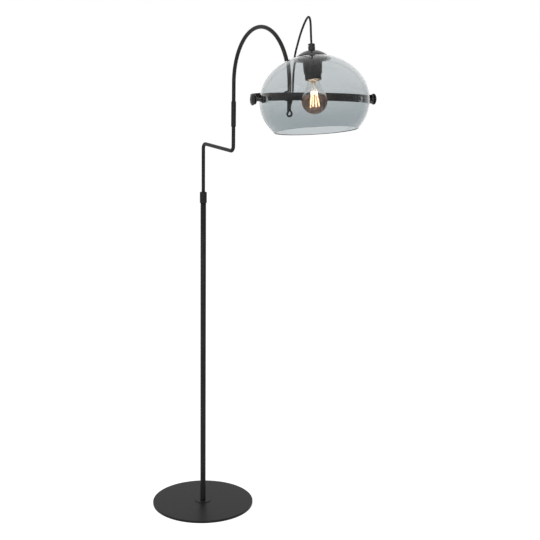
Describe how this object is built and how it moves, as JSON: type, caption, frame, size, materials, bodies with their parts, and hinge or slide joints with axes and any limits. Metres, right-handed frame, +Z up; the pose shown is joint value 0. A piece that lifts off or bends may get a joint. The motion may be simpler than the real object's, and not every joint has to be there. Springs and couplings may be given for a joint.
{
  "type": "floor lamp",
  "caption": "Floor lamp: round base, pole, swivelling crank and arched arm, and a tilting open smoked-glass dome on a bent band with hand knobs.",
  "frame": {"origin": "middle of the base's underside, on the floor", "axes": "+Z up along the pole; +X from the pole towards the shade, along the crank and the arm at rest"},
  "size_m": [0.887, 0.325, 1.4246],
  "materials": {
    "powder_coated_steel": "satin black powder coat on steel",
    "gloss_black_steel": "gloss black enamel on steel",
    "zinc_plated_steel": "bright zinc plating",
    "brass": "bare brass",
    "nickelled_brass": "nickel plated brass",
    "foam": "matt black foam sheet",
    "rubber": "matt black rubber",
    "natural_nylon": "natural nylon, milky white",
    "black_nylon": "black nylon, fine moulded grain",
    "black_thermoset": "moulded black thermoset, semi-gloss",
    "black_thermoplastic": "satin black moulded thermoplastic",
    "cord_sheath": "smooth black flexible sheath",
    "smoked_glass": "clear grey smoked glass, polished",
    "clear_glass": "clear soda glass, mirrored on the bulb's lower half",
    "steatite": "white steatite ceramic",
    "black_vitrite": "black glass insulator of the bulb's cap",
    "filament_coating": "warm phosphor coated filament stick"
  },
  "bodies": {
    "base": {"base_pad": "foam", "base_plate": "powder_coated_steel", "base_bolt": "zinc_plated_steel", "pole_foot_insert": "zinc_plated_steel", "foot_rosette": "powder_coated_steel", "pole_tube": "powder_coated_steel", "cord_bushing": "black_nylon", "collar": "powder_coated_steel", "swivel_bush": "natural_nylon", "pivot_seat": "natural_nylon", "lead_in_pole": "cord_sheath"},
    "crank": {"crank_tube": "powder_coated_steel", "crank_ring": "zinc_plated_steel", "lead_in_crank": "cord_sheath"},
    "arm": {"swivel_sleeve": "powder_coated_steel", "sleeve_liner": "natural_nylon", "thrust_washer": "natural_nylon", "arm_tube": "powder_coated_steel", "arm_end_bush": "black_nylon", "lead_in_arm": "cord_sheath"},
    "bracket": {"band": "gloss_black_steel", "clamp_block": "powder_coated_steel", "pendant_cord": "cord_sheath"},
    "clamp_screw": {"clamp_knob": "black_thermoset", "clamp_stud": "zinc_plated_steel", "clamp_insert": "brass"},
    "left_clamp": {"left_knob": "black_thermoset", "left_knob_insert": "brass"},
    "right_clamp": {"right_knob": "black_thermoset", "right_knob_insert": "brass"},
    "shade": {"shade_cap": "gloss_black_steel", "left_stud": "gloss_black_steel", "right_stud": "gloss_black_steel", "nipple": "zinc_plated_steel", "cap_nut": "zinc_plated_steel", "left_nut": "zinc_plated_steel", "right_nut": "zinc_plated_steel", "filament_wires": "zinc_plated_steel", "threaded_shell": "brass", "centre_contact": "brass", "terminal_screws": "brass", "bulb_contact": "brass", "bulb_cap": "nickelled_brass", "seat_gasket": "rubber", "left_grommet": "rubber", "right_grommet": "rubber", "left_inner_washer": "rubber", "right_inner_washer": "rubber", "grip_screw": "natural_nylon", "cord_grip": "black_thermoplastic", "lampholder_cap": "black_thermoplastic", "lampholder_skirt": "black_thermoplastic", "holder_lead": "cord_sheath", "glass_shade": "smoked_glass", "bulb_glass": "clear_glass", "bulb_stem": "clear_glass", "contact_block": "steatite", "bulb_insulator": "black_vitrite", "bulb_filaments": "filament_coating"}
  },
  "joints": [
    {"name": "crank_swivel", "type": "hinge", "parent": "base", "child": "crank", "pos_m": [0, 0, 0.93], "axis": [0, 0, 1], "range_deg": [-175, 175]},
    {"name": "arm_swivel", "type": "hinge", "parent": "crank", "child": "arm", "pos_m": [0.18, 0, 1.176], "axis": [0, 0, 1], "range_deg": [-170, 170]},
    {"name": "bracket_swivel", "type": "hinge", "parent": "arm", "child": "bracket", "pos_m": [0.466, 0, 1.237], "axis": [0, 0, 1], "range_deg": [-50, 50]},
    {"name": "shade_tilt", "type": "hinge", "parent": "bracket", "child": "shade", "pos_m": [0.60992, -0.01767, 1.237], "axis": [0.1219, 0.9925, 0], "range_deg": [-30, 50], "deforming": ["pendant_cord"]},
    {"name": "clamp_knob_turn", "type": "hinge", "parent": "bracket", "child": "clamp_screw", "pos_m": [0.466, 0, 1.237], "axis": [0.9925, -0.1219, 0], "range_deg": [0, 360]},
    {"name": "left_knob_turn", "type": "hinge", "parent": "shade", "child": "left_clamp", "pos_m": [0.60992, -0.01767, 1.237], "axis": [-0.1219, -0.9925, 0], "range_deg": [0, 360]},
    {"name": "right_knob_turn", "type": "hinge", "parent": "shade", "child": "right_clamp", "pos_m": [0.60992, -0.01767, 1.237], "axis": [0.1219, 0.9925, 0], "range_deg": [0, 360]}
  ]
}
